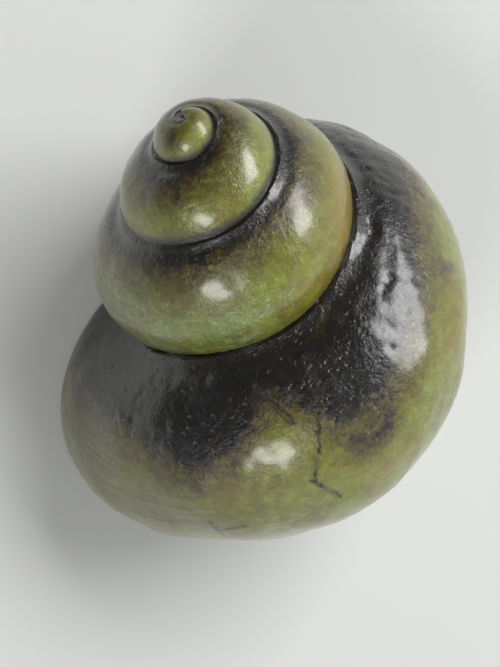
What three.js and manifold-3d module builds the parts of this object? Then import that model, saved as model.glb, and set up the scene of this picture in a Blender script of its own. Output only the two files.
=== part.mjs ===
// Turban shell: the heavy, smooth shell of a large sea snail, lying on its mouth.
//
// Millimetres, +Z up. The shell rests on z = 0, which is also the plane of its lip and mouth.
// Its coil axis leans back toward +Y, so the spire's tip is up and behind, and the mouth opens
// straight down. The origin is on the resting plane, under the middle of the shell.
//
// The shell is one tube wound round an axis. A section of the tube is an ellipse; as the shell
// grows, the section turns round the axis, moves away from it, slides down it and swells. Seen
// from the tip the tube winds clockwise, which makes the shell right-handed. Each turn overlaps
// the turn before it, and only the mouth leads into the hollow.

import * as THREE from 'three';
import { mergeVertices } from 'three/addons/utils/BufferGeometryUtils.js';
import Module from 'manifold-3d';

const wasm = await Module();
wasm.setup();

// The section at the reference turn (turn 0), where the last whorl faces the table.
const COIL_RADIUS = 25.7; // from the coil axis to the section's centre
const COIL_DROP = 107.1; // from the tip, down the axis, to the section's centre
const SECTION_WIDE = 55.5; // half width, across the axis
const SECTION_HIGH = 46.9; // half height, along the axis
const SECTION_TILT = THREE.MathUtils.degToRad(9);

// How the shell grows. Each rate multiplies the size once per turn.
const GROWTH_LAST = 1.77; // the last whorl and what follows it
const GROWTH_MIDDLE = 1.54; // the whorl before it
const GROWTH_FIRST = 2.94; // the small whorls at the tip
const DROP_POWER = 1.336; // the coil gets steeper as it grows
const WIDE_POWER = 0.966;
const HIGH_POWER = 0.761; // young whorls are taller for their size

// The last whorls swell and narrow gently, three times a turn.
const SWELL = 0.018;
const SWELLS_PER_TURN = 3;
const SWELL_LEAD = 0.037; // turns
const SWELL_START = -1.3; // turns
const SWELL_FULL = -0.7; // turns

// Where the tube starts and ends, and where the hollow inside it starts, in turns.
const TIP_TURN = -3.5;
const END_TURN = 0.5;
const HOLLOW_TURN = -1.5;

const WALL = 5; // thickness of the wall at the reference turn
const COLUMELLA = 8; // radius of the solid shell round the coil axis
const ROD = 1.2; // radius of the slim rod on the coil axis, which the tube's inner edge lies in

// How the shell lies. The axis is turned, then leaned back toward +Y.
const AXIS_TURN = THREE.MathUtils.degToRad(-102);
const AXIS_LEAN = THREE.MathUtils.degToRad(49);
const TIP_POINT = [11.5, 70.8, 102]; // where the coil starts, above the table
const UNDER_TABLE = 500; // the block cut away below the table

// The inner lip runs from the end of the outer lip, under the whorl above the mouth, to the pillar.
// Its points are above the table.
const INNER_LIP = [[19, 30, 6], [23, 15, 8], [20, -5, 10], [14, -24, 9], [10, -42, 5]];
const INNER_LIP_RADIUS = 7;
const INNER_LIP_STEPS = 14;
const INNER_LIP_SIDES = 14;

// Fineness of the facets.
const STEPS_PER_TURN = 28;
const STEP = 1 / STEPS_PER_TURN;
const SIDES = 32;
const ROD_SIDES = 12;
const SAME_POINT = 1e-4; // points of one shape this close together are one point

// The tube is wound in lengths of half a turn, the most that can't cross itself.
const LENGTH = 0.5;
const LAG = STEP / 2;

function smoothStep(value) {
  const t = Math.min(Math.max(value, 0), 1);
  return t * t * (3 - 2 * t);
}

// Size of the shell after so many turns, as a multiple of its size at turn 0.
function growth(turn) {
  const last = Math.max(turn, -1);
  const middle = Math.max(Math.min(turn + 1, 0), -1);
  const first = Math.min(turn + 2, 0);
  const ramp = smoothStep((turn - SWELL_START) / (SWELL_FULL - SWELL_START));
  const swell = ramp * SWELL * Math.cos(2 * Math.PI * SWELLS_PER_TURN * (turn + SWELL_LEAD));
  return GROWTH_LAST ** last * GROWTH_MIDDLE ** middle * GROWTH_FIRST ** first * Math.exp(swell);
}

// The points of one section, with its edge moved inward by inset and kept off the axis.
function section(turn, inset, offAxis) {
  const size = growth(turn);
  const angle = 2 * Math.PI * turn;
  const wide = SECTION_WIDE * size ** WIDE_POWER - inset * size;
  const high = SECTION_HIGH * size ** HIGH_POWER - inset * size;
  const points = [];
  for (let side = 0; side < SIDES; side += 1) {
    const around = (2 * Math.PI * side) / SIDES;
    const across = wide * Math.cos(around);
    const along = high * Math.sin(around);
    const out = across * Math.cos(SECTION_TILT) - along * Math.sin(SECTION_TILT);
    const up = across * Math.sin(SECTION_TILT) + along * Math.cos(SECTION_TILT);
    const radius = Math.max(COIL_RADIUS * size + out, offAxis);
    const height = up - COIL_DROP * size ** DROP_POWER;
    points.push([radius * Math.cos(angle), -radius * Math.sin(angle), height]);
  }
  return points;
}

// A closed length of tube from one turn to another.
function tube(firstTurn, lastTurn, inset, offAxis) {
  const steps = Math.round((lastTurn - firstTurn) * STEPS_PER_TURN);
  const positions = [];
  for (let step = 0; step <= steps; step += 1) {
    positions.push(...section(firstTurn + step * STEP, inset, offAxis).flat());
  }
  const indices = [];
  for (let step = 0; step < steps; step += 1) {
    for (let side = 0; side < SIDES; side += 1) {
      const here = step * SIDES + side;
      const beside = step * SIDES + ((side + 1) % SIDES);
      indices.push(here, beside, here + SIDES, beside, beside + SIDES, here + SIDES);
    }
  }
  const last = steps * SIDES;
  for (let side = 1; side < SIDES - 1; side += 1) {
    indices.push(0, side + 1, side);
    indices.push(last, last + side, last + side + 1);
  }
  return solid(new Float32Array(positions), new Uint32Array(indices));
}

function solid(vertProperties, triVerts) {
  const mesh = new wasm.Mesh({ numProp: 3, vertProperties, triVerts });
  mesh.merge();
  return new wasm.Manifold(mesh);
}

// A closed three.js geometry, as a solid.
function solidFrom(geometry) {
  geometry.deleteAttribute('normal');
  geometry.deleteAttribute('uv');
  const merged = mergeVertices(geometry, SAME_POINT);
  return solid(merged.attributes.position.array, new Uint32Array(merged.index.array));
}

// The rod on the coil axis, from the tip's first section to the last one.
function rod() {
  const top = -COIL_DROP * growth(TIP_TURN) ** DROP_POWER;
  const bottom = -COIL_DROP * growth(END_TURN) ** DROP_POWER;
  const geometry = new THREE.CylinderGeometry(ROD, ROD, top - bottom, ROD_SIDES);
  geometry.rotateX(Math.PI / 2);
  geometry.translate(0, 0, (top + bottom) / 2);
  return solidFrom(geometry);
}

// Winds the tube one length at a time. Each length starts a step back inside the one before it,
// and ends inside the wall of the turn before it, so that turn's wall also closes the new hollow,
// and nothing crosses the older hollow. The older turns that cut a new length lag behind it, so
// that their facets don't line up with its ends.
function wind() {
  let shell = rod();
  let older = tube(TIP_TURN - LENGTH, TIP_TURN - LAG, WALL / 2, ROD / 2);
  for (let turn = TIP_TURN; turn < END_TURN; turn += LENGTH) {
    const end = turn + LENGTH;
    let length = tube(turn - STEP, end, 0, ROD / 3);
    if (turn >= HOLLOW_TURN) {
      const hollow = tube(turn - 2 * STEP, end + STEP, WALL, COLUMELLA);
      length = length.subtract(hollow).subtract(older);
    }
    shell = shell.add(length);
    older = older.add(tube(turn - LAG, end - LAG, WALL / 2, ROD / 2));
  }
  return shell;
}

// The inner lip: a thick rounded ridge that closes the mouth's rim.
function innerLip() {
  const outline = [];
  for (let side = 0; side < INNER_LIP_SIDES; side += 1) {
    const around = (2 * Math.PI * side) / INNER_LIP_SIDES;
    outline.push(new THREE.Vector2(Math.cos(around), Math.sin(around)).multiplyScalar(INNER_LIP_RADIUS));
  }
  const path = new THREE.CatmullRomCurve3(INNER_LIP.map((point) => new THREE.Vector3(...point)));
  const settings = { extrudePath: path, steps: INNER_LIP_STEPS };
  return solidFrom(new THREE.ExtrudeGeometry(new THREE.Shape(outline), settings));
}

// Lays the shell on the table and cuts it off flat there, which makes the lip and opens the mouth.
function layDown(shell) {
  const lie = new THREE.Matrix4().makeRotationX(-AXIS_LEAN);
  lie.multiply(new THREE.Matrix4().makeRotationZ(AXIS_TURN));
  lie.setPosition(...TIP_POINT);
  const underTable = new THREE.BoxGeometry(UNDER_TABLE, UNDER_TABLE, UNDER_TABLE);
  underTable.translate(0, 0, -UNDER_TABLE / 2);
  return shell.transform(lie.toArray()).add(innerLip()).subtract(solidFrom(underTable));
}

function geometryFrom(shell) {
  const { vertProperties, triVerts } = shell.getMesh();
  const geometry = new THREE.BufferGeometry();
  geometry.setAttribute('position', new THREE.BufferAttribute(vertProperties, 3));
  geometry.setIndex(new THREE.BufferAttribute(triVerts, 1));
  return geometry;
}

function turbanShell() {
  const material = new THREE.MeshStandardMaterial({ color: 0x565a30, roughness: 0.3, metalness: 0 });
  const mesh = new THREE.Mesh(geometryFrom(layDown(wind())), material);
  mesh.name = 'turban_shell';
  return mesh;
}

const part = new THREE.Group();
part.add(turbanShell());
export default part;
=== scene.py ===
import math
from functools import partial
from types import SimpleNamespace

import bpy
import numpy as np
from bpy.props import FloatProperty, FloatVectorProperty, IntProperty, PointerProperty
from mathutils import Matrix, Vector


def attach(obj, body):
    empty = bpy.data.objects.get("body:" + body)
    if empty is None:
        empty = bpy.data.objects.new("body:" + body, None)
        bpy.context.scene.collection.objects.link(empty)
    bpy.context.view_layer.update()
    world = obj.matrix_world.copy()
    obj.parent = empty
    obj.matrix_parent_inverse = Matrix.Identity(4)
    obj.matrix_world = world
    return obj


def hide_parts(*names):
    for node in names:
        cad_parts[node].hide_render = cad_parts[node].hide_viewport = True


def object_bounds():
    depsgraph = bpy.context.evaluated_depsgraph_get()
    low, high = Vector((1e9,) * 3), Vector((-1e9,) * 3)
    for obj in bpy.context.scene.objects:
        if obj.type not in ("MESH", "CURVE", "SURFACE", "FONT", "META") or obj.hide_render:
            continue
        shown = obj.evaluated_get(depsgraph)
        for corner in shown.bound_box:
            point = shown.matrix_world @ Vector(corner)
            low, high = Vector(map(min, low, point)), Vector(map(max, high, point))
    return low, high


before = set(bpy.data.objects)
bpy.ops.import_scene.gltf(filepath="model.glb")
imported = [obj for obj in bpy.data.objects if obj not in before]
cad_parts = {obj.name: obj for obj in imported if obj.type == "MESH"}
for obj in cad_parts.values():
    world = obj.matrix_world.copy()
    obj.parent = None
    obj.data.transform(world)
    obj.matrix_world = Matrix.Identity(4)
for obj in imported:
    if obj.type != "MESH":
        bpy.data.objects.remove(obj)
CAD_LOW, CAD_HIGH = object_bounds()

# Turban shell: a heavy, smooth, varnished sea-snail shell that lies on its mouth.
#
# The shell is one tube wound round an axis, and each turn overlaps the turn before it. The form's
# numbers are in millimetres and turns. "Around" is the angle round the tube's section: 0 points
# away from the coil axis and a quarter turn points to the tip of the spire. "Below" is the
# distance over the surface from the suture, the line where a whorl meets the one before it.

bl_info = {
    "name": "Turban Shell",
    "version": (1, 0, 0),
    "blender": (4, 5, 0),
    "location": "3D View > Sidebar > Turban Shell",
    "description": "Grows a varnished turban shell lying on its mouth, and sets a plain stage for it",
    "category": "Add Mesh",
}

MM = 0.001

# The section at turn 0, where the last whorl faces the table.
COIL_RADIUS = 25.7  # from the coil axis to the section's centre
COIL_DROP = 107.1  # from the tip, down the axis, to the section's centre
SECTION_WIDE = 55.5  # half width, across the axis
SECTION_HIGH = 46.9  # half height, along the axis
SECTION_TILT = math.radians(9)

# How the shell grows. Each rate multiplies the size once per turn.
GROWTH_LAST = 1.77
GROWTH_MIDDLE = 1.54
GROWTH_FIRST = 2.94
DROP_POWER = 1.336
WIDE_POWER = 0.966
HIGH_POWER = 0.761
SWELL = 0.018
SWELLS_PER_TURN = 3
SWELL_LEAD = 0.037
SWELL_START = -1.3
SWELL_FULL = -0.7

# Where the tube starts and ends, and where its hollow starts, in turns.
TIP_TURN = -3.5
END_TURN = 0.5
HOLLOW_TURN = -1.5
WALL = 5
COLUMELLA = 8  # radius of the solid shell round the coil axis
ROD = 1.2  # radius of the rod on the axis, which the tube's inner edge lies in
ROD_SIDES = 24

# How it lies: the axis is turned, then leaned back toward +Y.
AXIS_TURN = math.radians(-102)
AXIS_LEAN = math.radians(49)
TIP_POINT = (11.5, 70.8, 102)
LIE = Matrix.Rotation(-AXIS_LEAN, 3, "X") @ Matrix.Rotation(AXIS_TURN, 3, "Z")

TIP_BALL = 5.2  # radius of the first, rounded chamber
TIP_BALL_TURN = -3.44
TIP_BALL_RINGS = 28

INNER_LIP = ((19, 30, 6), (23, 15, 8), (20, -5, 10), (14, -24, 9), (10, -42, 5), (4, -55, 3))
INNER_LIP_RADIUS = 7
INNER_LIP_STEPS = 48
INNER_LIP_SIDES = 28
INNER_LIP_TAPER = 0.8  # share of its radius that its rounded ends lose
BLOCK_HALF = 250  # half width of the block that cuts the shell off at the table
BLOCK_SQUARES = 60
FLAT = 0.01  # faces this close to the table belong to the flat rim
GLAZE = (0.5, 3)  # how far past the inner lip its pearly glaze starts and stops fading

# The tube is wound in half turns, the most that can't cross itself.
LENGTH = 0.5
CUTTER_STEP = 1 / 90  # turns between the sections of what hollows it out
CUTTER_SIDES = 96

# The lumps and pits that wear leaves.
LUMP_LENGTH, LUMP_WAVES = 26, 14
RIPPLE_LENGTH, RIPPLE_WAVES, RIPPLE_SHARE = 9, 18, 0.25
WAVE_SPREAD = (0.7, 1.4)
PIT_TURNS = (-0.45, 0.33)
PIT_PLACES = (0.2, 1.1)  # as a share of the dark band's reach
PIT_RADII = (1.2, 1.8)
PIT_DEPTHS = (0.4, 1)  # as a share of the deepest
RIM_WIDTH, CHANNEL_WIDTH = 0.6, 0.45  # as a share of their distance from the suture
YOUNG_POWER = 0.6  # how the relief shrinks with the shell, toward the tip
SEAM_FADE = (0.0, 0.9)  # the relief fades out at a seam, and near the table
TABLE_FADE = (1.0, 6.0)
LOWEST = 0.98  # the rounding stops short of a right angle
UPRIGHT = 0.2  # flat parts of the rim, whose normals lean out less than this, aren't rounded
SHARP = math.radians(38)  # edges that turn more than this stay sharp
MARGIN = 0.02  # the surface stays this far inside the CAD model's box

# How far the dark band reaches below the suture: (turn, mm).
DARK_BAND = (
    (-3.5, -6), (-3.0, -4), (-2.85, 1), (-2.3, 3), (-2.1, 4), (-1.95, 8), (-1.8, 10), (-1.4, 9),
    (-1.1, 8), (-0.9, 9), (-0.75, 10), (-0.6, 16), (-0.45, 28), (-0.3, 36), (-0.25, 27), (-0.2, 22),
    (-0.15, 25), (-0.1, 32), (-0.05, 39), (0.0, 40), (0.02, 27), (0.04, 20), (0.06, 27), (0.08, 38),
    (0.12, 42), (0.16, 34), (0.2, 29), (0.33, 31),
)

# Patches of colour: (turn, mm below the suture, radius in mm, strength).
BROWN_PATCHES = (
    (-0.01, 53, 9, 9), (-0.03, 50, 8, 8), (0.02, 60, 3, 6), (-0.16, 40, 2, 14), (0.16, 52, 3, 9),
    (0.17, 55, 3, 7), (0.11, 48, 3, 8), (-0.15, 36, 4, 7), (-0.21, 33, 4, 7), (-1.0, 15, 3, 3),
    (-2.85, 8, 3, 9), (-1.9, 12, 3, 4), (-2.2, 9, 4, 4),
)
GOLD_PATCHES = (
    (-1.18, 30, 13, 1.0), (-1.12, 36, 10, 0.9), (-1.05, 40, 10, 0.5), (-0.12, 48, 12, 0.5),
    (-0.02, 66, 12, 0.5), (0.03, 22, 7, 0.8), (0.09, 50, 7, 0.6), (-1.98, 18, 6, 0.3),
)
MINT_PATCHES = (
    (-0.84, 30, 15, 1.0), (-0.78, 24, 12, 0.9), (-0.93, 36, 13, 0.9), (-0.99, 26, 10, 0.6),
    (-2.02, 12, 7, 0.7), (-2.12, 7, 5, 0.6), (-2.5, 5, 5, 0.4), (-1.86, 14, 6, 0.5),
    (-0.06, 58, 9, 0.4), (-1.27, 22, 7, 0.5),
)
# Greyish patches that carry the brush strokes. The last one, on the third whorl, is also painted shade:
# it darkens a spot that the smaller window lights.
BRUSH_AND_SHADE_PATCHES = (
    (0.21, 48, 24, 1.0), (0.14, 60, 18, 0.9), (0.26, 36, 18, 0.8), (0.04, 22, 8, 0.7),
    (-0.8, 29, 17, 0.5),
)

# Cracks: (turn, mm below the suture) from end to end. The first one's edge has lifted.
CRACKS = (
    ((0.05, 16), (0.04, 21), (0.03, 29)),
    ((0.0, 14), (0.0, 24), (0.01, 33), (0.02, 43), (0.03, 53), (0.02, 64)),
    ((-0.05, 4), (-0.03, 7)),
    ((0.11, 65), (0.11, 76)),
    ((0.11, 70), (0.09, 67)),
    ((-0.23, 21), (-0.22, 28)),
)

# What each face corner knows, for the finish.
KNOWN = ("band", "gap", "size", "gold", "mint", "brush", "inside", "crack", "crack_off", "lifted",
         "lifted_off")

# The strokes and growth lines follow the whorl. One turn of them is as long as a circle this big.
FLOW_RADIUS = 60
FAR = 9.0  # a crack is forgotten farther off than this
NO_GAP = 60  # stands for the gap to the next whorl where there is none
TURN_SLACK = 0.1  # the rounded tip reaches this many turns before the coil starts
COVERED = 0.97  # a face deeper than this share of the next whorl's section is hidden in it

# The finish's noises: size in millimetres, detail and roughness.
NOISES = {
    "edge": (8, 6, 0.72), "edge_fine": (1.8, 4, 0.75), "blotches": (2.6, 5, 0.8),
    "clouds": (14, 5, 0.7), "pale_clouds": (4.5, 5, 0.75), "warm": (6, 4, 0.7),
    "cool": (6.5, 5, 0.7), "specks": (1.2, 4, 0.8), "shades": (6, 5, 0.7), "dirt": (2.2, 3, 0.6),
    "bends": (2.4, 4, 0.7), "breaks": (5.5, 2, 0.5), "pearl_clouds": (18, 3, 0.5),
    "hammering": (5, 4, 0.62), "grain": (1.5, 3, 0.65), "worn_grain": (2, 3, 0.7), "gloss": (8, 4, 0.6),
}
HAIRS = (3.6, 2.4)  # sizes of the two sets of pale strokes
STROKES = (38, 2.4)  # length and width of the brush strokes
GROWTH_LINES = (1.6, 16)  # spacing and length of the growth lines
PITS = 2.7  # spacing of the fine pits
SMOOTH = {"interpolation_type": "SMOOTHSTEP"}
BLEND = {"data_type": "RGBA"}

# The stage, in metres, and the camera's sensor, in millimetres.
TARGET = (-0.004, -0.0031, 0.055)  # the point near the shell's middle that lights and camera face
WINDOW, FAR_WINDOW = (1.3, 0.62), (0.55, 0.45)
FAR_SHARE = 0.34  # the smaller window's strength, as a share of the larger one's
SENSOR = 36

# Fineness of the sutures' table, and of distances over the surface.
TURN_SAMPLES = 1600
ARC_SAMPLES = 24
SUTURE_SAMPLES = 500


def from_hex(code):
    """A colour written as sRGB hex, as linear red, green, blue and alpha."""
    shares = [int(code[place:place + 2], 16) / 255 for place in (1, 3, 5)]
    return [v / 12.92 if v <= 0.04045 else ((v + 0.055) / 1.055) ** 2.4 for v in shares] + [1.0]


def smooth_step(value, start=0.0, end=1.0):
    """Eases from 0 at the start to 1 at the end."""
    share = np.clip((value - start) / (end - start), 0, 1)
    return share * share * (3 - 2 * share)


# ---------------------------------------------------------------- form


def growth(turn):
    """Size of the shell after so many turns, as a multiple of its size at turn 0."""
    last = np.maximum(turn, -1)
    middle = np.clip(turn + 1, -1, 0)
    first = np.minimum(turn + 2, 0)
    ramp = smooth_step(turn, SWELL_START, SWELL_FULL)
    swell = ramp * SWELL * np.cos(2 * math.pi * SWELLS_PER_TURN * (turn + SWELL_LEAD))
    return GROWTH_LAST ** last * GROWTH_MIDDLE ** middle * GROWTH_FIRST ** first * np.exp(swell)


def half_sizes(turn, inset=0.0):
    """Half width and half height of the section, with its edge moved in."""
    size = growth(turn)
    wide = SECTION_WIDE * size ** WIDE_POWER - inset * size
    high = SECTION_HIGH * size ** HIGH_POWER - inset * size
    return wide, high


def section(turn, around, inset=0.0, off_axis=0.0):
    """Distance from the coil axis, and height on it, of points round a section."""
    size = growth(turn)
    wide, high = half_sizes(turn, inset)
    across, along = wide * np.cos(around), high * np.sin(around)
    out = across * math.cos(SECTION_TILT) - along * math.sin(SECTION_TILT)
    up = across * math.sin(SECTION_TILT) + along * math.cos(SECTION_TILT)
    radius = np.maximum(COIL_RADIUS * size + out, off_axis)
    return radius, up - COIL_DROP * size ** DROP_POWER


def in_place(turn, radius, height):
    """Points of the coil, in millimetres, where the shell lies."""
    angle = 2 * math.pi * turn
    coil = np.stack([radius * np.cos(angle), -radius * np.sin(angle), height + 0 * angle], -1)
    return coil @ np.array(LIE).T + TIP_POINT


def section_place(turn, radius, height, inset=0.0):
    """Where a point of the coil is in a section: its reach, 1 on the edge, and its angle."""
    size = growth(turn)
    wide, high = half_sizes(turn, inset)
    out = radius - COIL_RADIUS * size
    up = height + COIL_DROP * size ** DROP_POWER
    across = (out * math.cos(SECTION_TILT) + up * math.sin(SECTION_TILT)) / wide
    along = (-out * math.sin(SECTION_TILT) + up * math.cos(SECTION_TILT)) / high
    return np.hypot(across, along), np.arctan2(along, across)


def suture_table():
    """The turns, and the angle round each turn's section where the suture is."""
    turns = np.linspace(TIP_TURN - LENGTH, END_TURN + LENGTH, TURN_SAMPLES)
    around = np.linspace(-0.3, math.pi, SUTURE_SAMPLES)
    radius, height = section(turns[:, None], around[None])
    reach, _ = section_place(turns[:, None] - 1, radius, height)
    first = np.maximum((reach < 1).argmax(1), 1)
    row = np.arange(len(turns))
    before, after = reach[row, first - 1] - 1, reach[row, first] - 1
    share = before / np.where(before == after, 1, before - after)
    return turns, around[first - 1] + (around[first] - around[first - 1]) * np.clip(share, 0, 1)


SUTURE_TURNS, SUTURE_AROUND = suture_table()


def below_suture(turn, around):
    """Millimetres over the surface from the suture down to a point."""
    suture = np.interp(turn, SUTURE_TURNS, SUTURE_AROUND)
    down = (suture - around + math.pi / 2) % (2 * math.pi) - math.pi / 2
    wide, high = half_sizes(turn)
    total = 0
    for sample in range(ARC_SAMPLES):
        angle = suture - down * (sample + 0.5) / ARC_SAMPLES
        total = total + np.hypot(wide * np.sin(angle), high * np.cos(angle))
    return total / ARC_SAMPLES * down


def on_surface(turn, below):
    """The point of the outside at a turn and a distance below the suture."""
    around = np.linspace(0, -math.pi, SUTURE_SAMPLES) + np.interp(turn, SUTURE_TURNS, SUTURE_AROUND)
    reached = below_suture(np.full(SUTURE_SAMPLES, turn), around)
    angle = np.interp(below, reached, around)
    return in_place(np.float64(turn), *section(turn, angle))


# ---------------------------------------------------------------- solids


def new_object(name, points, faces):
    mesh = bpy.data.meshes.new(name)
    mesh.from_pydata((np.asarray(points) * MM).tolist(), [], faces)
    made = bpy.data.objects.new(name, mesh)
    bpy.context.scene.collection.objects.link(made)
    return made


def loft(name, rings):
    """A closed solid through rings of points, each with the same number of points."""
    count, sides = rings.shape[:2]
    here = np.arange(sides)
    beside = (here + 1) % sides
    faces = []
    for ring in range(count - 1):
        low, high = ring * sides, (ring + 1) * sides
        faces += np.stack([low + here, low + beside, high + beside, high + here], 1).tolist()
    faces.append(here[::-1].tolist())
    faces.append((here + (count - 1) * sides).tolist())
    return new_object(name, rings.reshape(-1, 3), faces)


def tube(name, turns, sides, inset=0.0, off_axis=0.0):
    around = 2 * math.pi * np.arange(sides) / sides
    radius, height = section(turns[:, None], around[None], inset, off_axis)
    return loft(name, in_place(turns[:, None], radius, height))


def cutter_turns(first, last):
    return np.linspace(first, last, round((last - first) / CUTTER_STEP) + 1)


def settle(thing):
    """Makes what the modifiers give the thing's own mesh."""
    drawn = thing.evaluated_get(bpy.context.evaluated_depsgraph_get())
    mesh = bpy.data.meshes.new_from_object(drawn)
    thing.modifiers.clear()
    old = thing.data
    thing.data = mesh
    bpy.data.meshes.remove(old)


def combine(first, second, how):
    """Joins or cuts two closed solids, and leaves only the first."""
    change = first.modifiers.new(how, "BOOLEAN")
    change.operation = how
    change.solver = "MANIFOLD"
    change.object = second
    settle(first)
    bpy.data.meshes.remove(second.data)
    if not first.data.polygons:
        raise RuntimeError(f"nothing was left of {first.name} after {how}")
    return first


def rod():
    ends = [-COIL_DROP * growth(turn) ** DROP_POWER for turn in (END_TURN, TIP_TURN)]
    sides = np.arange(ROD_SIDES) / ROD_SIDES
    return loft("rod", np.stack([in_place(-sides, np.full(ROD_SIDES, ROD), end) for end in ends]))


def tip_ball():
    """The rounded chamber that the coil starts from."""
    centre = in_place(np.float64(TIP_BALL_TURN), COIL_RADIUS * growth(TIP_BALL_TURN),
                      -COIL_DROP * growth(TIP_BALL_TURN) ** DROP_POWER)
    rise = math.pi * (np.arange(1, TIP_BALL_RINGS) / TIP_BALL_RINGS - 0.5)[:, None]
    turn = math.pi * np.arange(2 * TIP_BALL_RINGS)[None] / TIP_BALL_RINGS
    way = [np.cos(rise) * np.cos(turn), np.cos(rise) * np.sin(turn), np.sin(rise) + 0 * turn]
    return loft("tip_ball", centre + TIP_BALL * np.stack(way, -1))


def inner_lip_path():
    """Points along the middle of the inner lip."""
    knots = np.array(INNER_LIP, float)
    ends = (2 * knots[:1] - knots[1:2], knots, 2 * knots[-1:] - knots[-2:-1])
    knots = np.concatenate(ends)
    share = np.linspace(0, len(INNER_LIP) - 1, INNER_LIP_STEPS)
    start = np.minimum(share.astype(int), len(INNER_LIP) - 2)
    step = (share - start)[:, None]
    a, b, c, d = (knots[start + place] for place in range(4))
    bend = 2 * a - 5 * b + 4 * c - d + step * (3 * (b - c) + d - a)
    return b + 0.5 * step * (c - a + step * bend)


def inner_lip():
    """The thick rounded ridge that closes the mouth's rim."""
    path = inner_lip_path()
    along = np.gradient(path, axis=0)
    along /= np.linalg.norm(along, axis=1)[:, None]
    side = np.cross(along, (0, 0, 1))
    side /= np.linalg.norm(side, axis=1)[:, None]
    up = np.cross(side, along)
    angle = 2 * math.pi * np.arange(INNER_LIP_SIDES) / INNER_LIP_SIDES
    ring = np.cos(angle)[None, :, None] * side[:, None] + np.sin(angle)[None, :, None] * up[:, None]
    from_middle = np.abs(np.linspace(-1, 1, INNER_LIP_STEPS))
    radius = INNER_LIP_RADIUS * (1 - INNER_LIP_TAPER * from_middle ** 8)
    return loft("inner_lip", path[:, None] + radius[:, None, None] * ring)


def wind(sizes):
    """Winds the tube one half turn at a time, hollowing the last ones, and joins them."""
    marks = np.arange(TIP_TURN, END_TURN + LENGTH / 2, LENGTH)
    rows = [TIP_TURN - CUTTER_STEP]
    starts = []
    for mark in marks[:-1]:
        wide, _ = half_sizes(mark + LENGTH / 2)
        reach = COIL_RADIUS * growth(mark + LENGTH / 2) + wide
        steps = math.ceil(2 * math.pi * reach * LENGTH * MM / sizes.spacing)
        starts.append(len(rows))
        rows += [mark + LENGTH * step / steps for step in range(steps)]
    starts.append(len(rows))
    rows = np.array(rows + [END_TURN])
    lag = CUTTER_STEP / 2
    turns = cutter_turns(TIP_TURN - LENGTH, TIP_TURN - lag)
    older = tube("older", turns, CUTTER_SIDES, WALL / 2, ROD / 2)
    shell = rod()
    for number, mark in enumerate(marks[:-1]):
        part = rows[starts[number] - 1:starts[number + 1] + 1]
        length = tube("length", part, sizes.sides, 0, ROD / 3)
        end = mark + LENGTH
        if mark >= HOLLOW_TURN:
            turns = cutter_turns(mark - 2 * CUTTER_STEP, end + CUTTER_STEP)
            hollow = tube("hollow", turns, CUTTER_SIDES, WALL, COLUMELLA)
            length = combine(length, hollow, "DIFFERENCE")
            copy = bpy.data.objects.new("older_copy", older.data.copy())
            bpy.context.scene.collection.objects.link(copy)
            length = combine(length, copy, "DIFFERENCE")
        shell = combine(shell, length, "UNION")
        turns = cutter_turns(mark - lag, end - lag)
        older = combine(older, tube("next", turns, CUTTER_SIDES, WALL / 2, ROD / 2), "UNION")
    bpy.data.meshes.remove(older.data)
    return shell


def triangulate(thing):
    """Splits the large flat faces that the joins and cuts leave."""
    change = thing.modifiers.new("split", "TRIANGULATE")
    change.min_vertices = 5
    settle(thing)


def block_below():
    """A block under the table, its top in small squares, which cuts the shell off flat."""
    half, count = BLOCK_HALF, BLOCK_SQUARES
    line = np.linspace(-half, half, count + 1)
    points = [(x, y, 0) for y in line for x in line]
    points += [(x, y, -half) for y in (-half, half) for x in (-half, half)]
    number = np.arange((count + 1) ** 2).reshape(count + 1, count + 1)
    squares = [number[:-1, :-1], number[:-1, 1:], number[1:, 1:], number[1:, :-1]]
    faces = np.stack(squares, -1).reshape(-1, 4).tolist()
    a, b, c, d = range(number.size, number.size + 4)
    faces.append([a, c, d, b])
    faces.append([a, b] + number[0, ::-1].tolist())
    faces.append([d, c] + number[-1].tolist())
    faces.append([c, a] + number[:, 0].tolist())
    faces.append([b, d] + number[::-1, -1].tolist())
    return new_object("block", points, faces)


# ---------------------------------------------------------------- surface


def read(items, field, kind=np.float32, width=1):
    """One field of every item, as an array."""
    values = np.empty(len(items) * width, kind)
    items.foreach_get(field, values)
    return values.reshape(-1, width) if width > 1 else values


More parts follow.
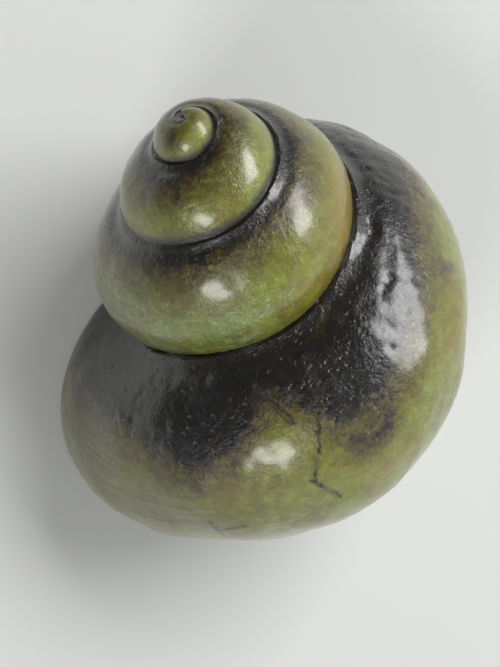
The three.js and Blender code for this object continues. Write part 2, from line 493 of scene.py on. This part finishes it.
class Surface:
    """What is known about each face corner: its whorl, and where on the whorl it is."""

    def __init__(self, mesh):
        self.points = read(mesh.vertices, "co", width=3).astype(float) / MM
        self.corner_vertex = read(mesh.loops, "vertex_index", np.int32)
        totals = read(mesh.polygons, "loop_total", np.int32)
        corner_face = np.repeat(np.arange(len(totals)), totals)
        centres = read(mesh.polygons, "center", width=3).astype(float) / MM
        face_turn, within = self.nearest_whorl(centres)
        self.within = within[corner_face]
        rim = (np.abs(centres[:, 2]) < FLAT)[corner_face]
        part, radius, height = (v[self.corner_vertex] for v in self.unwind(self.points))
        face_turn = face_turn[corner_face]
        self.turn = face_turn + (part - face_turn + 0.5) % 1 - 0.5
        _, around = section_place(self.turn, radius, height)
        self.below = below_suture(self.turn, around)
        reach_next, _ = section_place(self.turn + 1, radius, height)
        wide, high = half_sizes(self.turn + 1)
        gap = (reach_next - 1) * (wide + high) / 2
        self.gap = np.where(self.turn + 1 < END_TURN, np.maximum(gap, 0), NO_GAP)
        off = [np.linalg.norm(self.points - point, axis=1) for point in inner_lip_path()]
        glazed = 1 - smooth_step(np.min(off, axis=0) - INNER_LIP_RADIUS, *GLAZE)
        self.pearly = np.maximum(self.within | rim, glazed[self.corner_vertex])

    def nearest_whorl(self, centres):
        """The turn of each face, and whether the face is inside the shell."""
        part, radius, height = self.unwind(centres)
        best = np.full(len(centres), np.inf)
        face_turn = np.zeros(len(centres))
        inner = np.zeros(len(centres), bool)
        for whole in range(math.floor(TIP_TURN), math.ceil(END_TURN)):
            turn = part + whole
            real = (turn > TIP_TURN - TURN_SLACK) & (turn < END_TURN)
            wide, high = half_sizes(turn)
            for inset in (0, WALL):
                reach, _ = section_place(turn, radius, height, inset)
                off = np.where(real, np.abs(reach - 1) * (wide + high) / 2, np.inf)
                nearer = off < best
                best = np.where(nearer, off, best)
                face_turn = np.where(nearer, turn, face_turn)
                inner = np.where(nearer, inset > 0, inner)
        reach_next, _ = section_place(face_turn + 1, radius, height)
        covered = (reach_next < COVERED) & (face_turn + 1 < END_TURN)
        return face_turn, inner | covered

    @staticmethod
    def unwind(points):
        coil = (points - TIP_POINT) @ np.array(LIE)
        part = np.arctan2(-coil[:, 1], coil[:, 0]) / (2 * math.pi)
        return part, np.hypot(coil[:, 0], coil[:, 1]), coil[:, 2]

    def at_vertices(self, values):
        """Corner values as vertex values."""
        spread = np.zeros(len(self.points))
        spread[self.corner_vertex] = values
        return spread

    def least_at_vertices(self, values):
        """The least of the corner values at each vertex."""
        spread = np.full(len(self.points), np.inf)
        np.minimum.at(spread, self.corner_vertex, values)
        return spread

    def patches(self, rows):
        """Soft round patches, added up at the corners."""
        total = np.zeros(len(self.points))
        for turn, below, radius, strength in rows:
            off = np.linalg.norm(self.points - on_surface(turn, below), axis=1)
            total += strength * np.exp(-(off / radius) ** 2)
        return total[self.corner_vertex]

    def cracks(self, normals, chosen):
        """Signed distance to the side of the nearest crack, and the distance to it, at the corners."""
        nearest = np.full(len(self.points), FAR)
        signed = np.full(len(self.points), FAR)
        for crack in chosen:
            path = np.array([on_surface(turn, below) for turn, below in crack])
            for start, end in zip(path[:-1], path[1:]):
                line = end - start
                share = np.clip((self.points - start) @ line / (line @ line), 0, 1)
                away = self.points - (start + share[:, None] * line)
                off = np.linalg.norm(away, axis=1)
                side = (away * np.cross(line, normals)).sum(1) / math.sqrt(line @ line)
                closer = off < nearest
                signed = np.where(closer, side, signed)
                nearest = np.where(closer, off, nearest)
        return signed[self.corner_vertex], nearest[self.corner_vertex]


def vertex_normals(mesh):
    """The surface's direction at each vertex."""
    return read(mesh.vertex_normals, "vector", width=3).astype(float)


def waves(points, length, count, random):
    """Gentle lumps about so many millimetres long, from -1 to 1."""
    total = np.zeros(len(points))
    for _ in range(count):
        way = random.normal(size=3)
        way *= 2 * math.pi / length / np.linalg.norm(way) * random.uniform(*WAVE_SPREAD)
        total += np.sin(points @ way + random.uniform(0, 2 * math.pi))
    return total / math.sqrt(count / 2) / 2


def carve(mesh, sizes):
    """Raises the rim along the suture, sinks the channel beside it, and adds lumps and pits."""
    surface = Surface(mesh)
    random = np.random.default_rng(sizes.seed)
    normals = vertex_normals(mesh)
    points = surface.points
    below = surface.at_vertices(surface.below)
    size = growth(surface.at_vertices(surface.turn)) ** YOUNG_POWER
    rim_at = sizes.rim_place / MM * size
    channel_at = sizes.channel_place / MM * size
    rim = np.exp(-((below - rim_at) / (RIM_WIDTH * rim_at)) ** 2)
    channel = np.exp(-((below - channel_at) / (CHANNEL_WIDTH * channel_at)) ** 2)
    height = size * (sizes.rim_height * rim - sizes.channel_depth * channel) / MM
    lumps = waves(points, LUMP_LENGTH, LUMP_WAVES, random)
    ripples = waves(points, RIPPLE_LENGTH, RIPPLE_WAVES, random)
    height += size * sizes.lumps / MM * (lumps + RIPPLE_SHARE * ripples)
    for _ in range(sizes.pits):
        turn = random.uniform(*PIT_TURNS)
        place = on_surface(turn, random.uniform(*PIT_PLACES) * np.interp(turn, *zip(*DARK_BAND)))
        radius = random.uniform(*PIT_RADII)
        depth = sizes.pit_depth / MM * random.uniform(*PIT_DEPTHS)
        height -= depth * np.exp(-(np.linalg.norm(points - place, axis=1) / radius) ** 2)
    seam = surface.least_at_vertices(np.minimum(surface.below, surface.gap))
    outside = 1 - surface.at_vertices(surface.within.astype(float))
    fade = smooth_step(seam, *SEAM_FADE) * outside * smooth_step(points[:, 2], *TABLE_FADE)
    points += (height * fade)[:, None] * normals
    round_off(points, normals, sizes.edge_round / MM)
    fit(points)
    mesh.vertices.foreach_set("co", (points * MM).astype(np.float32).ravel())
    mesh.update()
    return surface


def round_off(points, normals, radius):
    """Rounds the lip's two edges where it meets the table."""
    flat = normals * (1, 1, 0)
    length = np.linalg.norm(flat, axis=1)
    low = np.clip(1 - points[:, 2] / radius, 0, LOWEST)
    inward = radius * (1 - np.sqrt(1 - low ** 2))
    rounds = (points[:, 2] < radius) & (length > UPRIGHT)
    points[rounds] -= (flat / np.maximum(length, UPRIGHT)[:, None] * inward[:, None])[rounds]


def fit(points):
    """Keeps the smooth surface inside the box of the CAD model."""
    low, high = np.array(CAD_LOW) / MM, np.array(CAD_HIGH) / MM
    now_low, now_high = points.min(0), points.max(0)
    for axis in (0, 1):
        room_for = high[axis] - low[axis] - 2 * MARGIN
        share = min(room_for / (now_high[axis] - now_low[axis]), 1.0)
        points[:, axis] = low[axis] + MARGIN + (points[:, axis] - now_low[axis]) * share
    points[:, 2] *= min((high[2] - MARGIN) / now_high[2], 1.0)


def record_surface(mesh, surface):
    """Writes what the finish needs to know onto the mesh."""
    normals = vertex_normals(mesh)
    crack, crack_off = surface.cracks(normals, CRACKS)
    lifted, lifted_off = surface.cracks(normals, CRACKS[:1])
    reach = np.interp(surface.turn, *zip(*DARK_BAND))
    values = {
        "band": reach - surface.below + surface.patches(BROWN_PATCHES),
        "gap": surface.gap,
        "size": growth(surface.turn),
        "gold": surface.patches(GOLD_PATCHES),
        "mint": surface.patches(MINT_PATCHES),
        "brush": surface.patches(BRUSH_AND_SHADE_PATCHES),
        "inside": surface.pearly,
        "crack": crack,
        "crack_off": crack_off,
        "lifted": lifted,
        "lifted_off": lifted_off,
    }
    for name in KNOWN:
        layer = mesh.attributes.new(name, "FLOAT", "CORNER")
        layer.data.foreach_set("value", values[name].astype(np.float32))
    along = surface.turn * 2 * math.pi * FLOW_RADIUS
    flow = np.stack([along, surface.below, 0 * along], 1)
    layer = mesh.attributes.new("flow", "FLOAT_VECTOR", "CORNER")
    layer.data.foreach_set("vector", flow.astype(np.float32).ravel())


def mark_sharp(mesh):
    """Smooth shading, but for edges that turn too sharply."""
    mesh.polygons.foreach_set("use_smooth", [True] * len(mesh.polygons))
    mesh.set_sharp_from_angle(angle=SHARP)


# ---------------------------------------------------------------- finish


def add(tree, kind, feeds, **settings):
    """Adds a node with its settings, and feeds its sockets from values or other nodes."""
    node = tree.nodes.new("ShaderNode" + kind)
    for field, value in settings.items():
        setattr(node, field, value)
    for socket, value in feeds.items():
        if isinstance(value, bpy.types.NodeSocket):
            tree.links.new(value, node.inputs[socket])
        else:
            node.inputs[socket].default_value = value
    return node.outputs


def varnished_shell(colours):
    """Turban shell, polished and varnished, with a dark skin left along the sutures."""
    # Polished shell is dense and smooth as china, with a soft, even gloss of its own. The varnish
    # adds a second, clearer gloss, so highlights are bright and the dark parts look wet.
    made = bpy.data.materials.new("varnished_shell")
    made.use_nodes = True
    tree = made.node_tree
    tree.nodes.clear()
    node = partial(add, tree)
    known = SimpleNamespace()
    for name in KNOWN:
        setattr(known, name, node("Attribute", {}, attribute_name=name)["Fac"])
    known.flow = node("Attribute", {}, attribute_name="flow")["Vector"]
    place = node("TexCoord", {})["Object"]
    known.mm = node("VectorMath", {0: place, "Scale": 1 / MM}, operation="SCALE")[0]
    for name, (size, detail, roughness) in NOISES.items():
        feeds = {0: known.mm, "Scale": 1 / size, "Detail": detail, "Roughness": roughness}
        setattr(known, name, node("TexNoise", feeds)[0])
    find_edge(node, known)
    find_cracks(node, known)
    colour = green_ground(node, known, colours)
    colour = gold_and_mint(node, known, colours, colour)
    colour = specks_and_strokes(node, known, colours, colour)
    colour = dark_band(node, known, colours, colour)
    colour = crevice_shade_and_cracks(node, known, colours, colour)
    colour = lining(node, known, colours, colour)
    rough = node("Math", {0: known.gloss, 1: 0.16, 2: 0.24}, operation="MULTIPLY_ADD")[0]
    feeds = {
        "Base Color": colour, "Roughness": rough, "IOR": 1.53, "Normal": relief(node, known),
        "Coat Weight": 0.8, "Coat Roughness": 0.18, "Coat IOR": 1.5,
    }
    skin = node("BsdfPrincipled", feeds)[0]
    node("OutputMaterial", {"Surface": skin})
    return made


def find_edge(node, known):
    """The dark band's ragged edge. Small whorls have the same raggedness, drawn smaller."""
    coarse = node("Math", {0: known.edge, 1: 24, 2: -12}, operation="MULTIPLY_ADD")[0]
    fine = node("Math", {0: known.edge_fine, 1: 17, 2: -8.5}, operation="MULTIPLY_ADD")[0]
    both = node("Math", {0: coarse, 1: fine}, operation="ADD")[0]
    scale = node("Math", {0: known.size, 1: 0.7}, operation="POWER")[0]
    known.ragged = node("Math", {0: both, 1: scale, 2: known.band}, operation="MULTIPLY_ADD")[0]


def find_cracks(node, known):
    """Hairline cracks: a broken line that wanders, in a wider stain."""
    wander = node("Math", {0: known.bends, 1: 5.5, 2: -2.75}, operation="MULTIPLY_ADD")[0]
    wander = node("Math", {0: wander, 1: known.crack}, operation="ADD")[0]
    wander = node("Math", {0: wander}, operation="ABSOLUTE")[0]
    close = node("MapRange", {0: known.crack_off, 1: 2.8, 2: 1.4}, **SMOOTH)[0]
    breaks = node("MapRange", {0: known.breaks, 1: 0.34, 2: 0.5}, **SMOOTH)[0]
    line = node("MapRange", {0: wander, 1: 0.5, 2: 0.12}, **SMOOTH)[0]
    line = node("Math", {0: line, 1: close}, operation="MULTIPLY")[0]
    known.line = node("Math", {0: line, 1: breaks}, operation="MULTIPLY")[0]
    halo = node("MapRange", {0: wander, 1: 2.2, 2: 0.3, 4: 0.55}, **SMOOTH)[0]
    known.halo = node("Math", {0: halo, 1: close}, operation="MULTIPLY")[0]


def green_ground(node, known, colours):
    """Olive, with clouds of brighter green and yellow-green."""
    share = node("MapRange", {0: known.clouds, 1: 0.38, 2: 0.62}, **SMOOTH)[0]
    colour = node("Mix", {0: share, 6: colours.olive, 7: colours.green}, **BLEND)[2]
    share = node("MapRange", {0: known.pale_clouds, 1: 0.42, 2: 0.7, 4: 0.6}, **SMOOTH)[0]
    return node("Mix", {0: share, 6: colour, 7: colours.lime}, **BLEND)[2]


def gold_and_mint(node, known, colours, colour):
    """Gold and mint clouds in patches, and short pale strokes like hairs."""
    share = node("MapRange", {0: known.warm, 1: 0.2, 2: 0.55}, **SMOOTH)[0]
    share = node("Math", {0: share, 1: known.gold}, operation="MULTIPLY")[0]
    share = node("Math", {0: share, 1: 0.9}, operation="MINIMUM")[0]
    colour = node("Mix", {0: share, 6: colour, 7: colours.gold}, **BLEND)[2]
    share = node("MapRange", {0: known.cool, 1: 0.35, 2: 0.7, 4: 0.26}, **SMOOTH)[0]
    share = node("Math", {0: share, 1: known.mint}, operation="MULTIPLY")[0]
    colour = node("Mix", {0: share, 6: colour, 7: colours.mint}, **BLEND)[2]
    thick = node("Math", {0: known.mint, 1: 0.6, 2: 0.12}, operation="MULTIPLY_ADD")[0]
    for size in HAIRS:
        feeds = {0: known.mm, "Scale": 1 / size, "Detail": 3, "Roughness": 0.6}
        here = node("TexNoise", feeds)[0]
        here = node("MapRange", {0: here, 1: 0.44, 2: 0.62}, **SMOOTH)[0]
        hairs = node("TexNoise", {**feeds, "Distortion": 1})[0]
        hairs = node("Math", {0: hairs, 1: 0.5, 2: 0.022}, operation="COMPARE")[0]
        hairs = node("Math", {0: hairs, 1: here}, operation="MULTIPLY")[0]
        hairs = node("Math", {0: hairs, 1: thick}, operation="MULTIPLY", use_clamp=True)[0]
        colour = node("Mix", {0: hairs, 6: colour, 7: colours.hair}, **BLEND)[2]
    return colour


def specks_and_strokes(node, known, colours, colour):
    """Fine brown specks, thicker toward the dark band, and thin stain brushed along the whorl."""
    specks = node("MapRange", {0: known.specks, 1: 0.54, 2: 0.68}, **SMOOTH)[0]
    thick = node("MapRange", {0: known.band, 1: -26, 2: -4, 3: 0.35, 4: 0.85}, **SMOOTH)[0]
    specks = node("Math", {0: specks, 1: thick}, operation="MULTIPLY")[0]
    colour = node("Mix", {0: specks, 6: colour, 7: colours.brown}, **BLEND)[2]
    scales = (1 / STROKES[0], 1 / STROKES[1], 0)
    along = node("VectorMath", {0: known.flow, 1: scales}, operation="MULTIPLY")[0]
    feeds = {0: along, "Scale": 1, "Detail": 4, "Roughness": 0.65, "Distortion": 0.4}
    strokes = node("TexNoise", feeds)[0]
    strokes = node("MapRange", {0: strokes, 1: 0.4, 2: 0.66}, **SMOOTH)[0]
    share = node("Math", {0: known.brush, 1: 0.75, 2: 0.08}, operation="MULTIPLY_ADD")[0]
    strokes = node("Math", {0: strokes, 1: share}, operation="MULTIPLY")[0]
    # Greyish drab ground in the brush patches; on the third whorl's patch this darkening is painted
    # shade.
    share = node("Math", {0: known.brush, 1: 0.5}, operation="MULTIPLY")[0]
    colour = node("Mix", {0: share, 6: colour, 7: colours.drab}, **BLEND)[2]
    return node("Mix", {0: strokes, 6: colour, 7: colours.brown}, **BLEND)[2]


def dark_band(node, known, colours, colour):
    """Brown mottling, then the dark band."""
    stain = node("MapRange", {0: known.ragged, 1: -18, 2: 3, 4: 0.5}, **SMOOTH)[0]
    colour = node("Mix", {0: stain, 6: colour, 7: colours.brown}, **BLEND)[2]
    near = node("MapRange", {0: known.ragged, 1: -13, 2: 1}, **SMOOTH)[0]
    blotches = node("MapRange", {0: known.blotches, 1: 0.36, 2: 0.58}, **SMOOTH)[0]
    blotches = node("Math", {0: near, 1: blotches}, operation="MULTIPLY")[0]
    colour = node("Mix", {0: blotches, 6: colour, 7: colours.brown}, **BLEND)[2]
    shade = node("MapRange", {0: known.shades, 1: 0.5, 2: 0.75}, **SMOOTH)[0]
    black = node("Mix", {0: shade, 6: colours.black, 7: colours.umber}, **BLEND)[2]
    dark = node("MapRange", {0: known.ragged, 1: -2.5, 2: 4.5}, **SMOOTH)[0]
    return node("Mix", {0: dark, 6: colour, 7: black}, **BLEND)[2]


def crevice_shade_and_cracks(node, known, colours, colour):
    """Painted shade in the crevice along each whorl's lower edge, thin on the large whorls and wider
    near the tip, then the cracks' stain and line.
    """
    reach = node("MapRange", {0: known.size, 1: 0.4, 2: 0.52, 3: 2.2, 4: 0.8})[0]
    wander = node("Math", {0: known.dirt, 1: 1.8, 2: -0.9}, operation="MULTIPLY_ADD")[0]
    wander = node("Math", {0: wander, 1: known.gap}, operation="ADD")[0]
    dirt = node("Math", {0: wander, 1: reach}, operation="DIVIDE")[0]
    dirt = node("MapRange", {0: dirt, 1: 1.5, 2: 0.3, 4: 0.92}, **SMOOTH)[0]
    # Painted shade: close to the next whorl the colour is darkened toward black, standing in for the
    # shade in the suture's crevice.
    colour = node("Mix", {0: dirt, 6: colour, 7: colours.black}, **BLEND)[2]
    colour = node("Mix", {0: known.halo, 6: colour, 7: colours.brown}, **BLEND)[2]
    return node("Mix", {0: known.line, 6: colour, 7: colours.black}, **BLEND)[2]


def lining(node, known, colours, colour):
    """Mother-of-pearl inside the mouth, on the flat rim and over the inner lip."""
    clouds = node("MapRange", {0: known.pearl_clouds, 1: 0.35, 2: 0.65}, **SMOOTH)[0]
    pearl = node("Mix", {0: clouds, 6: colours.pearl, 7: colours.pearl_shade}, **BLEND)[2]
    return node("Mix", {0: known.inside, 6: colour, 7: pearl}, **BLEND)[2]


def relief(node, known):
    """Height in millimetres: a hammered look, grain, pits, growth lines and cracks."""
    height = node("Math", {0: known.hammering, 1: 0.6}, operation="MULTIPLY")[0]
    height = node("Math", {0: known.grain, 1: 0.22, 2: height}, operation="MULTIPLY_ADD")[0]
    worn = node("MapRange", {0: known.ragged, 1: -8, 2: 6, 4: 0.42}, **SMOOTH)[0]
    height = node("Math", {0: known.worn_grain, 1: worn, 2: height}, operation="MULTIPLY_ADD")[0]
    cells = node("TexVoronoi", {"Vector": known.mm, "Scale": 1 / PITS, "Randomness": 1})
    chosen = node("SeparateColor", {0: cells["Color"]})[0]
    chosen = node("MapRange", {0: chosen, 1: 0.45, 2: 0.55}, **SMOOTH)[0]
    pits = node("MapRange", {0: cells["Distance"], 1: 0.42, 2: 0.05}, **SMOOTH)[0]
    pits = node("Math", {0: pits, 1: chosen}, operation="MULTIPLY")[0]
    deep = node("MapRange", {0: known.ragged, 1: -6, 2: 6, 4: -0.42}, **SMOOTH)[0]
    height = node("Math", {0: pits, 1: deep, 2: height}, operation="MULTIPLY_ADD")[0]
    scales = (1 / GROWTH_LINES[0], 1 / GROWTH_LINES[1], 0)
    across = node("VectorMath", {0: known.flow, 1: scales}, operation="MULTIPLY")[0]
    lines = node("TexNoise", {0: across, "Scale": 1, "Detail": 2, "Roughness": 0.5})[0]
    height = node("Math", {0: lines, 1: 0.1, 2: height}, operation="MULTIPLY_ADD")[0]

    # The lifted edge of one crack is a small ridge, and the other cracks are grooves.
    ridge = node("MapRange", {0: known.lifted, 1: 0.1, 2: 0.8}, **SMOOTH)[0]
    fall = node("MapRange", {0: known.lifted, 1: 2.4, 2: 0.8}, **SMOOTH)[0]
    ridge = node("Math", {0: ridge, 1: fall}, operation="MULTIPLY")[0]
    fall = node("MapRange", {0: known.lifted_off, 1: 2.6, 2: 1.2}, **SMOOTH)[0]
    ridge = node("Math", {0: ridge, 1: fall}, operation="MULTIPLY")[0]
    height = node("Math", {0: ridge, 1: 1.1, 2: height}, operation="MULTIPLY_ADD")[0]
    height = node("Math", {0: known.line, 1: -0.6, 2: height}, operation="MULTIPLY_ADD")[0]
    calm = node("Math", {0: known.inside, 1: -0.8, 2: 1}, operation="MULTIPLY_ADD")[0]
    height = node("Math", {0: height, 1: calm}, operation="MULTIPLY")[0]
    return node("Bump", {"Strength": 1, "Distance": MM, "Height": height})[0]


def pale_paint(colour):
    """Matt pale paint on a flat board: even, with no gloss."""
    made = bpy.data.materials.new("pale_paint")
    made.use_nodes = True
    skin = made.node_tree.nodes["Principled BSDF"]
    skin.inputs["Base Color"].default_value = colour
    skin.inputs["Roughness"].default_value = 0.9
    skin.inputs["Specular IOR Level"].default_value = 0.1
    return made


# ---------------------------------------------------------------- add-on


class ShellSizes(bpy.types.PropertyGroup):
    """Sizes of the shell's surface."""

    spacing: FloatProperty(
        name="Facet size", description="Distance between the tube's sections at its widest",
        default=0.0014, min=0.0008, unit="LENGTH")
    sides: IntProperty(
        name="Sides", description="Points round each section of the tube", default=256, min=32)
    rim_height: FloatProperty(
        name="Rim height", description="Height of the raised rim along the suture",
        default=0.0007, unit="LENGTH")
    rim_place: FloatProperty(
        name="Rim place", description="Distance of the rim from the suture",
        default=0.0019, unit="LENGTH")
    channel_depth: FloatProperty(
        name="Channel depth", description="Depth of the shallow channel beside the rim",
        default=0.0007, unit="LENGTH")
    channel_place: FloatProperty(
        name="Channel place", description="Distance of the channel from the suture",
        default=0.0065, unit="LENGTH")
    lumps: FloatProperty(
        name="Lumps", description="Height of the gentle lumps all over the shell",
        default=0.0005, unit="LENGTH")
    pits: IntProperty(
        name="Pits", description="Number of worn pits in the dark band", default=150, min=0)
    pit_depth: FloatProperty(
        name="Pit depth", description="Depth of the deepest pits", default=0.00045, unit="LENGTH")
    edge_round: FloatProperty(
        name="Lip rounding", description="Radius of the lip's worn edges", default=0.002, unit="LENGTH")
    seed: IntProperty(
        name="Seed", description="Another number gives other lumps and pits", default=7)


def colour_property(name, description, code):
    return FloatVectorProperty(
        name=name, description=description, default=from_hex(code),
        subtype="COLOR", size=4, min=0, max=1)


class ShellColours(bpy.types.PropertyGroup):
    """Colours of the shell."""

    olive: colour_property("Olive", "Duller part of the green ground", "#675f20")
    green: colour_property("Green", "Main green of the whorls", "#727c1e")
    lime: colour_property("Lime", "Lighter yellow-green clouds", "#8f9732")
    gold: colour_property("Gold", "Warm yellow on the sides of the whorls", "#86700a")
    mint: colour_property("Mint", "Cool pale clouds", "#7b9459")
    hair: colour_property("Hair strokes", "Fine pale strokes", "#a3c69b")
    brown: colour_property("Brown", "Mottling next to the dark band", "#433319")
    drab: colour_property("Drab", "Greyish olive under the brush strokes", "#514a31")
    umber: colour_property("Umber", "Lighter part of the dark band", "#2b2019")
    black: colour_property("Black", "The dark band", "#13100e")
    pearl: colour_property("Pearl", "The lining of the mouth", "#d9d4c6")
    pearl_shade: colour_property("Pearl shade", "Cooler parts of the lining", "#bcc4bd")


class StageSettings(bpy.types.PropertyGroup):
    """The floor, the lights and the camera."""

    floor_size: FloatProperty(
        name="Floor size", description="Width of the floor", default=4.0, unit="LENGTH")
    floor_colour: colour_property("Floor", "Plain pale floor", "#d5d6d3")
    wall_light: FloatProperty(
        name="Wall light", description="Brightness of the room near the horizon", default=1.2, min=0)
    dark_azimuth: FloatProperty(
        name="Dark side", description="Direction of the room's unlit side",
        default=math.radians(106), subtype="ANGLE")
    ceiling_light: FloatProperty(
        name="Ceiling light", description="Brightness of the room overhead", default=0.1, min=0)
    window_power: FloatProperty(
        name="Window power", description="Strength of the soft window light", default=24.5, unit="POWER")
    window_azimuth: FloatProperty(
        name="Window azimuth", description="Direction of the window, from +X toward +Y",
        default=math.radians(2), subtype="ANGLE")
    far_azimuth: FloatProperty(
        name="Far window azimuth", description="Direction of the smaller window",
        default=math.radians(-160), subtype="ANGLE")
    far_elevation: FloatProperty(
        name="Far window elevation", description="Height of the smaller window above the floor",
        default=math.radians(45), subtype="ANGLE")
    window_elevation: FloatProperty(
        name="Window elevation", description="Height of the window above the floor",
        default=math.radians(50), subtype="ANGLE")
    window_distance: FloatProperty(
        name="Window distance", description="From the middle of the shell to each window",
        default=1.6, unit="LENGTH")
    camera_lens: FloatProperty(
        name="Lens", description="Focal length, in millimetres", default=97.15, min=1)
    camera_distance: FloatProperty(
        name="Camera distance", description="From the lens to the middle of the shell",
        default=0.64, unit="LENGTH")
    camera_azimuth: FloatProperty(
        name="Camera azimuth", description="Side the camera leans to, from +X toward +Y",
        default=math.radians(145.3), subtype="ANGLE")
    camera_elevation: FloatProperty(
        name="Camera elevation", description="Height of the camera above the floor",
        default=math.radians(79.9), subtype="ANGLE")
    camera_top: FloatProperty(
        name="Top of the picture", description="Way the top of the picture points, from +X toward +Y",
        default=math.radians(55.2), subtype="ANGLE")


class TURBAN_OT_grow(bpy.types.Operator):
    """Grow the shell, carve its surface and finish it"""

    bl_idname = "turban.grow"
    bl_label = "Grow shell"

    def execute(self, context):
        sizes = context.scene.turban_sizes
        shell = wind(sizes)
        shell = combine(shell, tip_ball(), "UNION")
        shell = combine(shell, inner_lip(), "UNION")
        shell = combine(shell, block_below(), "DIFFERENCE")
        triangulate(shell)
        shell.name = "turban_shell_surface"
        mesh = shell.data
        mesh.name = shell.name
        surface = carve(mesh, sizes)
        record_surface(mesh, surface)
        mark_sharp(mesh)
        mesh.materials.clear()
        mesh.materials.append(varnished_shell(context.scene.turban_colours))
        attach(shell, "root")
        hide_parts("turban_shell")
        return {"FINISHED"}


def room(settings):
    """A plain room: pale walls, and darker overhead."""
    made = bpy.data.worlds.new("room")
    made.use_nodes = True
    tree = made.node_tree
    tree.nodes.clear()
    way = add(tree, "TexCoord", {})["Generated"]
    rise = add(tree, "SeparateXYZ", {0: way})[2]
    shade = toward(settings.dark_azimuth, 0)
    side = add(tree, "VectorMath", {0: way, 1: shade}, operation="DOT_PRODUCT")["Value"]
    feeds = {0: side, 1: -0.8, 2: 0.8, 3: settings.wall_light, 4: settings.ceiling_light}
    walls = add(tree, "MapRange", feeds, interpolation_type="SMOOTHSTEP")[0]
    strength = add(tree, "MapRange", {0: rise, 3: walls, 4: settings.ceiling_light})[0]
    light = add(tree, "Background", {"Color": from_hex("#f1f3f7"), "Strength": strength})[0]
    add(tree, "OutputWorld", {"Surface": light})
    return made


def toward(azimuth, elevation):
    flat = math.cos(elevation)
    return Vector((math.cos(azimuth) * flat, math.sin(azimuth) * flat, math.sin(elevation)))


def look(thing, place, target, top):
    """Puts a light or camera in its place, facing the target, with its top that way up."""
    back = (place - target).normalized()
    right = top.cross(back).normalized()
    thing.matrix_world = Matrix.Translation(place) @ Matrix(
        (right, back.cross(right), back)).transposed().to_4x4()


class TURBAN_OT_stage(bpy.types.Operator):
    """Set the floor, the window light and the camera"""

    bl_idname = "turban.stage"
    bl_label = "Set the stage"

    def execute(self, context):
        settings = context.scene.turban_stage
        half = settings.floor_size / 2 / MM
        corners = [(-half, -half, 0), (half, -half, 0), (half, half, 0), (-half, half, 0)]
        floor = new_object("floor", corners, [(0, 1, 2, 3)])
        floor.data.materials.append(pale_paint(settings.floor_colour))
        target = Vector(TARGET)
        for name, azimuth, elevation, size, power in (
            ("window", settings.window_azimuth, settings.window_elevation, WINDOW, 1.0),
            ("far_window", settings.far_azimuth, settings.far_elevation, FAR_WINDOW, FAR_SHARE),
        ):
            window = bpy.data.objects.new(name, bpy.data.lights.new(name, "AREA"))
            window.data.shape = "RECTANGLE"
            window.data.size, window.data.size_y = size
            window.data.energy = settings.window_power * power
            context.scene.collection.objects.link(window)
            place = target + toward(azimuth, elevation) * settings.window_distance
            look(window, place, target, Vector((0, 0, 1)))
        context.scene.world = room(settings)
        camera = bpy.data.objects.new("camera", bpy.data.cameras.new("camera"))
        camera.data.lens = settings.camera_lens
        camera.data.sensor_width = SENSOR
        context.scene.collection.objects.link(camera)
        way = toward(settings.camera_azimuth, settings.camera_elevation)
        look(camera, target + way * settings.camera_distance, target, toward(settings.camera_top, 0))
        context.scene.camera = camera
        context.scene.view_settings.view_transform = "Standard"
        return {"FINISHED"}


class TURBAN_PT_panel(bpy.types.Panel):
    """Sizes, colours and buttons"""

    bl_label = "Turban Shell"
    bl_idname = "TURBAN_PT_panel"
    bl_space_type = "VIEW_3D"
    bl_region_type = "UI"
    bl_category = "Turban Shell"

    def draw(self, context):
        for title, group, operator in (
            ("Shell", "turban_sizes", "turban.grow"),
            ("Colours", "turban_colours", None),
            ("Stage", "turban_stage", "turban.stage"),
        ):
            box = self.layout.box()
            box.label(text=title)
            settings = getattr(context.scene, group)
            for name in type(settings).__annotations__:
                box.prop(settings, name)
            if operator:
                box.operator(operator)


CLASSES = (ShellSizes, ShellColours, StageSettings, TURBAN_OT_grow, TURBAN_OT_stage, TURBAN_PT_panel)


def register():
    for made in CLASSES:
        bpy.utils.register_class(made)
    bpy.types.Scene.turban_sizes = PointerProperty(type=ShellSizes)
    bpy.types.Scene.turban_colours = PointerProperty(type=ShellColours)
    bpy.types.Scene.turban_stage = PointerProperty(type=StageSettings)


def unregister():
    del bpy.types.Scene.turban_stage
    del bpy.types.Scene.turban_colours
    del bpy.types.Scene.turban_sizes
    for made in reversed(CLASSES):
        bpy.utils.unregister_class(made)


def main():
    register()
    bpy.ops.turban.grow()
    bpy.ops.turban.stage()


if __name__ == "__main__":
    main()
